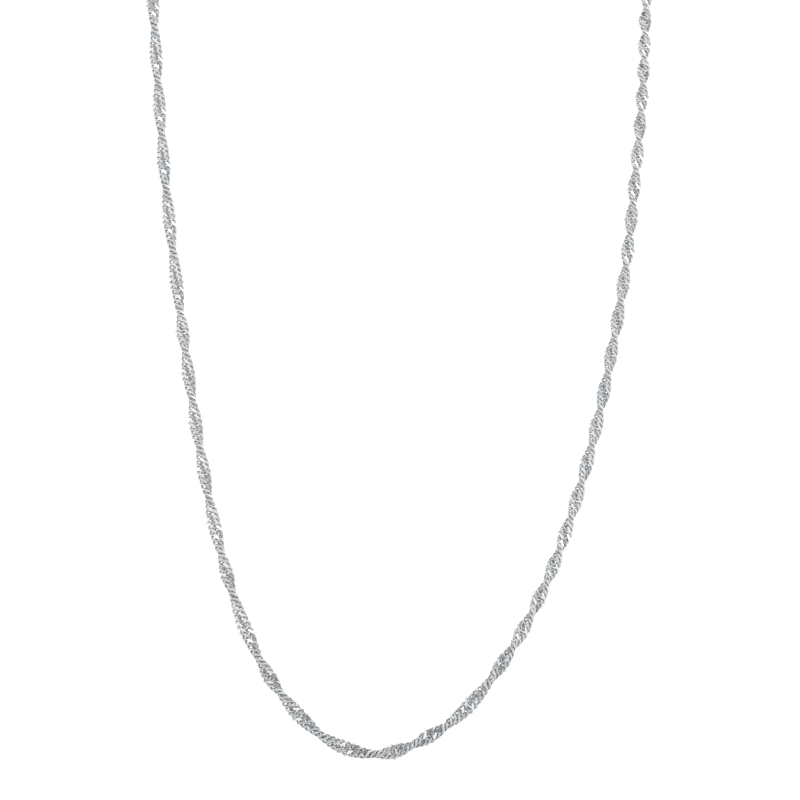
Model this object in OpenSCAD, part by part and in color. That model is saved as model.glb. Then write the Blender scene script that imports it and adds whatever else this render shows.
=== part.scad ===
/* [Chain] */
// Width of the flat chain, from edge to edge
chain_w = 1.85; // [1.35:0.05:2.35]
// Thickness of the flat chain
chain_t = 1.15; // [0.85:0.05:1.45]
// Cross sections along each half turn of the twist
sections_per_half_turn = 5; // [4:1:8]
// Sides of each cross section
section_sides = 8; // [8:2:12]

/* [Drop] */
// Lean of the front drop back from upright, in degrees
drop_lean = 17; // [5:1:30]

/* [Clasp] */
// Outer diameter of the clasp's ring
ring_d = 5.5; // [4.5:0.5:7]
// Thickness of the ring's tube
ring_tube = 1; // [0.8:0.1:1.4]
// Outer diameter of the eye at each end of the clasp
eye_d = 2; // [1.8:0.1:2.6]
// Wire of the eyes
eye_wire = 0.5; // [0.4:0.1:0.6]
// How far each eye is sunk into the ring's tube
eye_sink = 0.3; // [0.2:0.05:0.4]
// Gap between an eye and the end of the chain
end_gap = 0.15; // [0.1:0.05:0.3]

/* [Hidden] */

// The loop runs from the nape down the left strand, along the bottom and up
// the right strand. The neck's axis is Z, and the wearer faces -Y.

// Middle of the back of the neck, where the clasp lies
nape = [0.3, 46, 10];

// The strand round one side of the neck, from the drop to the nape: x, y, z
neck_side = [
    [34.4, -26, -5.6],
    [37, -19.5, -0.2],
    [41.5, -10, 3.4],
    [45.5, 1.5, 5.8],
    [45, 14, 7.4],
    [40, 26, 8.6],
    [30.5, 36, 9.4],
    [16.5, 43.5, 9.9]
];

// Height and depth at which the strands leave the neck for the drop
drop_top_z = -14;
drop_top_y = -31;

// The front drop, from the left strand to the right one: x, z
drop = [
    [-33.4, -14],
    [-32.3, -27],
    [-31, -40],
    [-29.4, -52],
    [-27.6, -64],
    [-25.5, -76],
    [-23, -87],
    [-19.6, -97],
    [-15, -105],
    [-9, -110.6],
    [-2.5, -112.3],
    [3.8, -110.1],
    [9.1, -106],
    [14.4, -99],
    [18.8, -90.8],
    [22.2, -82],
    [25.2, -72],
    [27.7, -61],
    [29.7, -50],
    [31.2, -38],
    [32.4, -26.5],
    [33.2, -14]
];

// How the chain twists: half turns so far, distance from the nape
twist = [
    [0, 0],
    [16, 119.1],
    [19, 142.1],
    [21, 159.8],
    [22, 165.1],
    [25, 185.1],
    [26, 192.9],
    [27, 198.2],
    [28, 207.7],
    [29, 212.8],
    [31, 227.7],
    [33, 237.3],
    [34, 245.6],
    [36, 255.4],
    [39, 269],
    [46, 304],
    [50, 321.9],
    [52, 330],
    [55, 340.9],
    [81.5, 456.8]
];

// Smooth line through the route's points
spans_per_point = 8;
mirrored_side = [for (i = [len(neck_side) - 1 : -1 : 0]) [-neck_side[i].x, neck_side[i].y, neck_side[i].z]];
leaning_drop = [for (p = drop) [p[0], drop_top_y + (p[1] - drop_top_z) * tan(drop_lean), p[1]]];
route = concat([nape], mirrored_side, leaning_drop, neck_side);

function between(a, b, c, d, u) =
    (2 * b + (c - a) * u + (2 * a - 5 * b + 4 * c - d) * u ^ 2 + (3 * b - a - 3 * c + d) * u ^ 3) / 2;

function corner(i) = route[(i + len(route)) % len(route)];

line = [
    for (i = [0 : len(route) - 1])
        for (j = [0 : spans_per_point - 1])
            between(corner(i - 1), corner(i), corner(i + 1), corner(i + 2), j / spans_per_point),
    nape
];
last = len(line) - 1;
distances = [for (i = 0, d = 0; i <= last; d = d + (i < last ? norm(line[i + 1] - line[i]) : 0), i = i + 1) d];
loop_length = distances[last];

// Point and directions of the chain at a distance from the nape
along = [for (axis = [0 : 2]) [for (i = [0 : last]) [distances[i], line[i][axis]]]];
heading_step = 0.5;
front = [0, -cos(drop_lean), sin(drop_lean)];

function unit(v) = v / norm(v);
function place(s) = [for (axis = [0 : 2]) lookup(s, along[axis])];
function heading(s) = unit(place(s + heading_step) - place(s - heading_step));
function square_to(v, t) = unit(v - (v * t) * t);

// One cross section: an oval whose long axis has turned by the half turns so far
function section(half_turns) =
    let (
        s = lookup(half_turns, twist),
        middle = place(s),
        t = heading(s),
        face = square_to(front, t),
        side = cross(t, face),
        wide = face * cos(180 * half_turns) - side * sin(180 * half_turns),
        thick = cross(t, wide)
    )
    [for (k = [0 : section_sides - 1])
        let (a = 360 * k / section_sides)
        middle + wide * cos(a) * chain_w / 2 + thick * sin(a) * chain_t / 2];

// The chain ends just short of the clasp's eyes
eye_offset = ring_d / 2 - eye_sink + eye_d / 2;
clasp_reach = eye_offset + eye_d / 2;
chain_start = clasp_reach + end_gap;
chain_end = loop_length - chain_start;

swapped_twist = [for (row = twist) [row[1], row[0]]];
first_turn = lookup(chain_start, swapped_twist);
last_turn = lookup(chain_end, swapped_twist);
section_count = ceil((last_turn - first_turn) * sections_per_half_turn) + 1;

module chain() {
    n = section_sides;
    turn_step = (last_turn - first_turn) / (section_count - 1);
    points = [for (i = [0 : section_count - 1]) each section(first_turn + i * turn_step)];
    walls = [
        for (i = [0 : section_count - 2])
            for (k = [0 : n - 1])
                let (a = i * n + k, b = i * n + (k + 1) % n)
                each [[a, b, b + n], [a, b + n, a + n]]
    ];
    start_cap = [for (k = [n - 1 : -1 : 0]) k];
    end_cap = [for (k = [0 : n - 1]) (section_count - 1) * n + k];
    color("silver")
        polyhedron(points, concat(walls, [start_cap, end_cap]));
}

// A round ring in the XZ plane
module wire_ring(outer_d, wire) {
    rotate([90, 0, 0])
        rotate_extrude($fn = 64)
            translate([(outer_d - wire) / 2, 0])
                circle(d = wire, $fn = 32);
}

// Ring with an eye soldered on at each end, lying flat against the nape
module clasp() {
    color("silver")
        translate(nape)
            union() {
                wire_ring(ring_d, ring_tube);
                for (end = [-1, 1])
                    translate([end * eye_offset, 0, 0])
                        wire_ring(eye_d, eye_wire);
            }
}

chain();
clasp();
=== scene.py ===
from math import atan2, copysign, cos, hypot, pi, radians, sin, tan

import bmesh
import bpy
from mathutils import Matrix, Vector


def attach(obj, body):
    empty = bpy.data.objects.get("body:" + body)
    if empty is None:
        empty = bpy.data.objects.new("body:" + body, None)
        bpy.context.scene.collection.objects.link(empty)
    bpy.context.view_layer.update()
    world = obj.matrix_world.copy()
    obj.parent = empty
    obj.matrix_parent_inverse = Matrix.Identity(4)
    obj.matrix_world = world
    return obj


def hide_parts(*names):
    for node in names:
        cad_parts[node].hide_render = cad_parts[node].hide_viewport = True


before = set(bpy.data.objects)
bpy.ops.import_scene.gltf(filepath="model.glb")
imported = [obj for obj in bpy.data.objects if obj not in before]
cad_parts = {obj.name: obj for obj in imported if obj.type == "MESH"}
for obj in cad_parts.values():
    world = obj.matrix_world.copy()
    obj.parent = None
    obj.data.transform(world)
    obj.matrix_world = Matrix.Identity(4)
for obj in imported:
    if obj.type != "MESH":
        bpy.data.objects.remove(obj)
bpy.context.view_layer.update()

scene = bpy.context.scene
scene.view_settings.view_transform = "Standard"

# lengths are in metres; the loop runs from the nape down the left strand, along the bottom
# and up the right strand
loop = {
    "nape": (0.0003, 0.046, 0.010),
    # round the right side of the neck, from the drop to the nape: x, y, z
    "neckSide": [
        (0.0344, -0.0260, -0.0056), (0.0370, -0.0195, -0.0002), (0.0415, -0.0100, 0.0034),
        (0.0455, 0.0015, 0.0058), (0.0450, 0.0140, 0.0074), (0.0400, 0.0260, 0.0086),
        (0.0305, 0.0360, 0.0094), (0.0165, 0.0435, 0.0099),
    ],
    # the front drop, from the left strand to the right one: x, z
    "drop": [
        (-0.0334, -0.0140), (-0.0323, -0.0270), (-0.0310, -0.0400), (-0.0294, -0.0520),
        (-0.0276, -0.0640), (-0.0255, -0.0760), (-0.0230, -0.0870), (-0.0196, -0.0970),
        (-0.0150, -0.1050), (-0.0090, -0.1106), (-0.0025, -0.1123), (0.0038, -0.1101),
        (0.0091, -0.1060), (0.0144, -0.0990), (0.0188, -0.0908), (0.0222, -0.0820),
        (0.0252, -0.0720), (0.0277, -0.0610), (0.0297, -0.0500), (0.0312, -0.0380),
        (0.0324, -0.0265), (0.0332, -0.0140),
    ],
    "dropTop": (-0.031, -0.014),    # y and z where the strands leave the neck
    "lean": radians(17),            # of the drop, back from upright
    "stepsPerSpan": 8,
    "reach": 0.0005,                # to each side of a point, to find the strand's direction
    # half turns of the twist so far, distance from the nape
    "twist": [
        (0, 0.0), (16, 0.1191), (19, 0.1421), (21, 0.1598), (22, 0.1651), (25, 0.1851),
        (26, 0.1929), (27, 0.1982), (28, 0.2077), (29, 0.2128), (31, 0.2277), (33, 0.2373),
        (34, 0.2456), (36, 0.2554), (39, 0.2690), (46, 0.3040), (50, 0.3219), (52, 0.3300),
        (55, 0.3409), (81.5, 0.4568),
    ],
}


def smoothLine(points, steps):
    # even curve through the points of a closed loop
    n = len(points)
    line = []
    for i in range(n):
        a, b, c, d = points[i - 1], points[i], points[(i + 1) % n], points[(i + 2) % n]
        for j in range(steps):
            u = j / steps
            line.append((2 * b + (c - a) * u + (2 * a - 5 * b + 4 * c - d) * u ** 2
                         + (3 * b - a - 3 * c + d) * u ** 3) / 2)
    line.append(points[0].copy())
    return line


def loopLine():
    topY, topZ = loop["dropTop"]
    left = [Vector((-x, y, z)) for x, y, z in reversed(loop["neckSide"])]
    drop = [Vector((x, topY + (z - topZ) * tan(loop["lean"]), z)) for x, z in loop["drop"]]
    right = [Vector(p) for p in loop["neckSide"]]
    return smoothLine([Vector(loop["nape"])] + left + drop + right, loop["stepsPerSpan"])


line = loopLine()
distances = [0.0]
for a, b in zip(line, line[1:]):
    distances.append(distances[-1] + (b - a).length)
loopLength = distances[-1]
turnCounts = [turns for turns, place in loop["twist"]]
turnPlaces = [place for turns, place in loop["twist"]]
print("loop:", round(loopLength * 1000, 1), "mm,", turnCounts[-1], "half turns")


def between(value, keys, values):
    # straight line through a table, as a lookup
    for i in range(1, len(keys)):
        if value <= keys[i] or i == len(keys) - 1:
            u = (value - keys[i - 1]) / (keys[i] - keys[i - 1])
            return values[i - 1] + (values[i] - values[i - 1]) * u


def placeAt(s):
    return between(s, distances, line)


def linkMatrix(s):
    # a link lies along the strand, across the flat chain and through it
    reach = loop["reach"]
    along = (placeAt(s + reach) - placeAt(s - reach)).normalized()
    front = Vector((0, -cos(loop["lean"]), sin(loop["lean"])))
    face = (front - along * front.dot(along)).normalized()
    side = along.cross(face)
    turned = pi * between(s, turnPlaces, turnCounts)
    wide = face * cos(turned) - side * sin(turned)
    thick = along.cross(wide)
    return Matrix.Translation(placeAt(s)) @ Matrix((along, wide, thick)).transposed().to_4x4()


def wireRing(bm, centre, radius, given):
    # closed ring of wire in the XY plane
    start = Matrix.Translation(centre + Vector((radius, 0, 0))) @ Matrix.Rotation(pi / 2, 4, "X")
    made = bmesh.ops.create_circle(bm, segments=given["wireSides"], radius=given["wire"] / 2,
                                   matrix=start)["verts"]
    edges = [edge for edge in bm.edges if edge.verts[0] in made]
    bmesh.ops.spin(bm, geom=made + edges, cent=centre, axis=(0, 0, 1), angle=2 * pi,
                   steps=given["sides"], use_merge=True)


def addObject(bm, name):
    mesh = bpy.data.meshes.new(name)
    bm.to_mesh(mesh)
    bm.free()
    piece = bpy.data.objects.new(name, mesh)
    scene.collection.objects.link(piece)
    return piece


# each link passes through the next two and touches neither
link = {
    "count": 530,
    "wire": 0.000376,
    "halfLong": 0.001077,   # middle of the link to the middle of its end wire
    "halfWide": 0.000832,
    "shoulder": 1.024,      # above 1 draws the ends to a point
    "ownTwist": 2.408,      # turn of the wire at the middle, per mm, left handed
    "twistEase": 1.135,     # how much less it turns towards the ends
    "flatten": 0.842,
    "sides": 16,
    "wireSides": 5,
    "faceCut": 0.00054,     # flats cut across the front and back, from the middle
    "edgeCut": 0.00096,     # and along both edges
    "cutSlot": 1,           # material slot of the flats
    "closeBy": 0.02,        # in radians, to each side of a point, to find the wire's direction
}


def linkPath(t):
    # middle of the wire, along, across and through the chain
    x = link["halfLong"] * 1000 * cos(t)   # in mm, as the link's own twist is
    w = link["halfWide"] * 1000 * copysign(abs(sin(t)) ** link["shoulder"], sin(t))
    turn = -(link["ownTwist"] * x - link["twistEase"] * x ** 3)
    return Vector((x, w * cos(turn), link["flatten"] * w * sin(turn))) / 1000


def bendWire(bm):
    # turns the round ring into the link's twisted oval
    ahead, long, wide = link["closeBy"], link["halfLong"], link["halfWide"]
    for v in bm.verts:
        t = atan2(v.co.y, v.co.x)
        away = hypot(v.co.x, v.co.y) - long
        centre = linkPath(t)
        tangent = (linkPath(t + ahead) - linkPath(t - ahead)).normalized()
        out = Vector((centre.x / long ** 2, centre.y / wide ** 2, centre.z / wide ** 2))
        out = (out - tangent * out.dot(tangent)).normalized()
        v.co = centre + out * away - tangent.cross(out) * v.co.z


def cutFlat(bm, normal, depth):
    # cuts away what stands past the depth and closes the wire with a flat, whose lighter silver
    # is a painted highlight
    bmesh.ops.bisect_plane(bm, geom=bm.verts[:] + bm.edges[:] + bm.faces[:], dist=1e-7,
                           plane_co=Vector(normal) * depth, plane_no=normal, clear_outer=True)
    rims = [edge for edge in bm.edges if edge.is_boundary]
    for edge in rims:
        edge.smooth = False
    for flat in bmesh.ops.holes_fill(bm, edges=rims, sides=0)["faces"]:
        flat.material_index = link["cutSlot"]


def linkTemplate():
    bm = bmesh.new()
    wireRing(bm, Vector((0, 0, 0)), link["halfLong"], link)
    bendWire(bm)
    for face in bm.faces:
        face.smooth = True
    for side in (1, -1):
        cutFlat(bm, (0, 0, side), link["faceCut"])
    for side in (1, -1):
        cutFlat(bm, (0, side, 0), link["edgeCut"])
    bmesh.ops.recalc_face_normals(bm, faces=bm.faces[:])
    mesh = bpy.data.meshes.new("linkTemplate")
    bm.to_mesh(mesh)
    bm.free()
    return mesh


# a round ring hangs in each of the clasp's eyes and holds the first or the last link
endRing = {
    "inner": 0.00056,
    "wire": 0.00034,
    "eyeOuter": 0.00445,    # from the nape to the outer edge of an eye
    "eyeWire": 0.0005,
    "play": 0.00006,        # between the ring and the eye's wire
    "forward": 0.0001,      # of the nape's middle, as the strand bends that way
    "toLink": 0.00008,      # from the eye to the first link
    "sides": 16,
    "wireSides": 6,
}


def addEndRings(bm):
    away = endRing["eyeOuter"] - endRing["eyeWire"] - endRing["play"] + endRing["inner"]
    for side in (-1, 1):
        centre = Vector(loop["nape"]) + Vector((side * away, -endRing["forward"], 0))
        wireRing(bm, centre, endRing["inner"] + endRing["wire"] / 2, endRing)
    for face in bm.faces:
        face.smooth = True
    bmesh.ops.recalc_face_normals(bm, faces=bm.faces[:])


def chainOfLinks():
    start = endRing["eyeOuter"] + endRing["toLink"] + link["wire"] / 2 + link["halfLong"]
    pitch = (loopLength - 2 * start) / (link["count"] - 1)
    template = linkTemplate()
    bm = bmesh.new()
    addEndRings(bm)
    for k in range(link["count"]):
        before = len(bm.verts)
        bm.from_mesh(template)
        bm.verts.ensure_lookup_table()
        bmesh.ops.transform(bm, matrix=linkMatrix(start + k * pitch), verts=bm.verts[before:])
    bpy.data.meshes.remove(template)
    piece = addObject(bm, "chainLinks")
    print("chain:", link["count"], "links, pitch", round(pitch * 1000, 4), "mm,",
          len(piece.data.polygons), "faces")
    return piece


# noise scales are per metre; heights are in the frame
finish = {
    "tintScale": 240,              # patches of about 4 mm
    "tintDetail": 1,
    "coolNoise": (0.52, 0.66),     # a patch starts and is full
    "warmNoise": (0.46, 0.34),
    # painted shade: the chain darkens from the first height down to the second
    "paintedShadeHeight": (-0.085, -0.108),
    "polishScale": 5000,           # marks of about 0.2 mm
    "polishDetail": 3,
    "polishDepth": 0.00002,
}


def mapped(tree, source, span, most):
    # 0 where the source is at the span's start, up to most where it is at its end
    node = tree.nodes.new("ShaderNodeMapRange")
    node.inputs["From Min"].default_value, node.inputs["From Max"].default_value = span
    tree.links.new(source, node.inputs["Value"])
    tree.links.new(most, node.inputs["To Max"])
    return node.outputs["Result"]


def noiseOn(tree, coords, scale, detail):
    node = tree.nodes.new("ShaderNodeTexNoise")
    node.inputs["Scale"].default_value = scale
    node.inputs["Detail"].default_value = detail
    tree.links.new(coords, node.inputs["Vector"])
    return node.outputs["Fac"]


def mixed(tree, share, first, second):
    node = tree.nodes.new("ShaderNodeMix")
    node.data_type = "RGBA"
    tree.links.new(share, node.inputs["Factor"])
    tree.links.new(first, node.inputs["A"])
    tree.links.new(second, node.inputs["B"])
    return node.outputs["Result"]


def silverFinish():
    # faint cool and warm patches, painted shade that darkens the lowest stretch, and the
    # unevenness of polishing
    tree = bpy.data.node_groups.new("silverFinish", "ShaderNodeTree")
    for name, kind, direction in (
        ("Colour", "NodeSocketColor", "INPUT"),
        ("Cool", "NodeSocketColor", "INPUT"),
        ("Warm", "NodeSocketColor", "INPUT"),
        ("PaintedShade", "NodeSocketColor", "INPUT"),
        ("Tint", "NodeSocketFloat", "INPUT"),
        ("PaintedShadeShare", "NodeSocketFloat", "INPUT"),
        ("Roughness", "NodeSocketFloat", "INPUT"),
        ("Unevenness", "NodeSocketFloat", "INPUT"),
        ("Colour", "NodeSocketColor", "OUTPUT"),
        ("Roughness", "NodeSocketFloat", "OUTPUT"),
        ("Normal", "NodeSocketVector", "OUTPUT"),
    ):
        tree.interface.new_socket(name=name, in_out=direction, socket_type=kind)
    given = tree.nodes.new("NodeGroupInput").outputs
    result = tree.nodes.new("NodeGroupOutput").inputs
    coords = tree.nodes.new("ShaderNodeTexCoord").outputs["Object"]

    patches = noiseOn(tree, coords, finish["tintScale"], finish["tintDetail"])
    cool = mapped(tree, patches, finish["coolNoise"], given["Tint"])
    warm = mapped(tree, patches, finish["warmNoise"], given["Tint"])
    split = tree.nodes.new("ShaderNodeSeparateXYZ")
    tree.links.new(coords, split.inputs["Vector"])
    # painted shade, darker towards the bottom of the drop
    paintedShadeMask = mapped(tree, split.outputs["Z"], finish["paintedShadeHeight"], given["PaintedShadeShare"])
    colour = mixed(tree, cool, given["Colour"], given["Cool"])
    colour = mixed(tree, warm, colour, given["Warm"])
    tree.links.new(mixed(tree, paintedShadeMask, colour, given["PaintedShade"]), result["Colour"])

    polish = noiseOn(tree, coords, finish["polishScale"], finish["polishDetail"])
    spread = tree.nodes.new("ShaderNodeMath")
    spread.operation = "MULTIPLY_ADD"
    tree.links.new(polish, spread.inputs[0])
    tree.links.new(given["Unevenness"], spread.inputs[1])
    tree.links.new(given["Roughness"], spread.inputs[2])
    tree.links.new(spread.outputs["Value"], result["Roughness"])
    bump = tree.nodes.new("ShaderNodeBump")
    bump.inputs["Distance"].default_value = finish["polishDepth"]
    tree.links.new(polish, bump.inputs["Height"])
    tree.links.new(given["Unevenness"], bump.inputs["Strength"])
    tree.links.new(bump.outputs["Normal"], result["Normal"])
    return tree


silverGroup = silverFinish()


def silver(name, look):
    mat = bpy.data.materials.new(name)
    mat.use_nodes = True
    nodes, links = mat.node_tree.nodes, mat.node_tree.links
    shader = nodes["Principled BSDF"]
    shader.inputs["Metallic"].default_value = 1
    surface = nodes.new("ShaderNodeGroup")
    surface.node_tree = silverGroup
    for socket, value in look.items():
        surface.inputs[socket].default_value = value
    links.new(surface.outputs["Colour"], shader.inputs["Base Color"])
    links.new(surface.outputs["Roughness"], shader.inputs["Roughness"])
    links.new(surface.outputs["Normal"], shader.inputs["Normal"])
    return mat


wireLook = {
    "Colour": (0.675, 0.68, 0.685, 1),
    "Cool": (0.63, 0.665, 0.69, 1),
    "Warm": (0.69, 0.673, 0.673, 1),
    # colour of the painted shade on the lowest stretch, and how much of it is laid on
    "PaintedShade": (0.50, 0.52, 0.53, 1),
    "Tint": 0.7,
    "PaintedShadeShare": 0.5,
    "Roughness": 0.16,
    "Unevenness": 0.12,
}
# the cut flats: a smoother polish, and a lighter colour that is a painted highlight
cutLook = {**wireLook, "Colour": (0.735, 0.74, 0.745, 1), "Roughness": 0.08, "Unevenness": 0.06}
claspLook = {**wireLook, "Roughness": 0.12, "Unevenness": 0.1}

chain = chainOfLinks()
chain.data.materials.append(silver("brightSilver", wireLook))
chain.data.materials.append(silver("cutSilver", cutLook))
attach(chain, "root")
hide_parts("chain")
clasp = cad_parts["clasp"]
clasp.material_slots[0].material = silver("claspSilver", claspLook)
print("silver:", len(chain.data.materials), "finishes on the chain, 1 on the clasp")

# a wide sheet of pale paper, level under the necklace and curved up into a wall behind it
studio = {
    "floor": -0.16,
    "back": 1.1,
    "front": -6,
    "halfWide": 6,
    "high": 1.6,
    "bend": 0.4,
    "bendSteps": 12,
    "paper": (0.9, 0.9, 0.9, 1),
    "roughness": 0.9,
}


def palePaper():
    mat = bpy.data.materials.new("palePaper")
    mat.use_nodes = True
    shader = mat.node_tree.nodes["Principled BSDF"]
    shader.inputs["Base Color"].default_value = studio["paper"]
    shader.inputs["Roughness"].default_value = studio["roughness"]
    return mat


def studioSweep():
    bm = bmesh.new()
    half, back, floor, bend = (studio[k] for k in ("halfWide", "back", "floor", "bend"))
    profile = [(studio["front"], floor)]
    for i in range(studio["bendSteps"] + 1):
        a = pi / 2 * i / studio["bendSteps"]
        profile.append((back - bend * (1 - sin(a)), floor + bend * (1 - cos(a))))
    profile.append((back, studio["high"]))
    verts = [bm.verts.new((-half, y, z)) for y, z in profile]
    rim = [bm.edges.new((a, b)) for a, b in zip(verts, verts[1:])]
    swept = bmesh.ops.extrude_edge_only(bm, edges=rim)["geom"]
    bmesh.ops.translate(bm, vec=(2 * half, 0, 0),
                        verts=[g for g in swept if isinstance(g, bmesh.types.BMVert)])
    for face in bm.faces:
        face.smooth = True
    sweep = addObject(bm, "studioSweep")
    sweep.data.materials.append(palePaper())
    print("studio: floor at", studio["floor"], "m, wall", studio["back"], "m behind")


studioSweep()

# place, aim, size across and up in metres, power in watts
softboxes = {
    "leftSoftbox": ((-0.9, -0.5, 0.3), (0, -0.02, -0.05), (0.5, 0.9), 0.5),
    "rightSoftbox": ((0.9, -0.4, 0.3), (0, -0.02, -0.05), (0.5, 0.9), 2),
    "wallWash": ((0, 0.4, 1.0), (0, 1.1, -0.1), (1.8, 0.3), 7.5),
}


def softbox(name, place, aim, size, power):
    lamp = bpy.data.lights.new(name, "AREA")
    lamp.shape = "RECTANGLE"
    lamp.size, lamp.size_y = size
    lamp.energy = power
    light = bpy.data.objects.new(name, lamp)
    light.location = place
    light.rotation_euler = (Vector(aim) - Vector(place)).to_track_quat("-Z", "Y").to_euler()
    scene.collection.objects.link(light)


for name, settings in softboxes.items():
    softbox(name, *settings)
print("lights:", ", ".join(softboxes))

# strength of the room's own light, brightest from the front and dimmer from above
room = {
    "front": 1.8,
    "sides": 0.9,          # and behind
    "sidesFrom": -0.3,     # on a scale from -1 straight in front to 1 straight behind
    "zenith": 0.45,        # share that is left straight above
    "colour": (1, 1, 1, 1),
}


def brightRoom():
    world = bpy.data.worlds.new("room")
    scene.world = world
    world.use_nodes = True
    nodes, links = world.node_tree.nodes, world.node_tree.links
    background = nodes["Background"]
    background.inputs["Color"].default_value = room["colour"]
    coords = nodes.new("ShaderNodeTexCoord")
    split = nodes.new("ShaderNodeSeparateXYZ")
    frontToSides = nodes.new("ShaderNodeMapRange")
    frontToSides.inputs["From Min"].default_value = -1   # straight in front
    frontToSides.inputs["From Max"].default_value = room["sidesFrom"]
    frontToSides.inputs["To Min"].default_value = room["front"]
    frontToSides.inputs["To Max"].default_value = room["sides"]
    dimUpwards = nodes.new("ShaderNodeMapRange")
    dimUpwards.inputs["To Min"].default_value = 1
    dimUpwards.inputs["To Max"].default_value = room["zenith"]
    strength = nodes.new("ShaderNodeMath")
    strength.operation = "MULTIPLY"
    links.new(coords.outputs["Generated"], split.inputs["Vector"])
    links.new(split.outputs["Y"], frontToSides.inputs["Value"])
    links.new(split.outputs["Z"], dimUpwards.inputs["Value"])
    links.new(frontToSides.outputs["Result"], strength.inputs[0])
    links.new(dimUpwards.outputs["Result"], strength.inputs[1])
    links.new(strength.outputs["Value"], background.inputs["Strength"])
    print("room: strength", room["front"], "in front,", room["sides"], "at the sides")


brightRoom()

# the picture is 800 pixels of 0.13 mm at the drop, 0.4 m in front of the camera
view = {
    "place": (0, -0.44629, -0.06799),
    "scale": 0.00013,
    "distance": 0.4,
    "pixels": 800,
    "sensor": 36,
}


def photoCamera():
    camera = bpy.data.cameras.new("camera")
    camera.sensor_width = view["sensor"]
    camera.lens = view["sensor"] * view["distance"] / (view["scale"] * view["pixels"])
    eye = bpy.data.objects.new("camera", camera)
    eye.location = view["place"]
    eye.rotation_euler = (pi / 2, 0, 0)
    scene.collection.objects.link(eye)
    scene.camera = eye
    print("camera:", round(camera.lens, 1), "mm lens, level")


photoCamera()
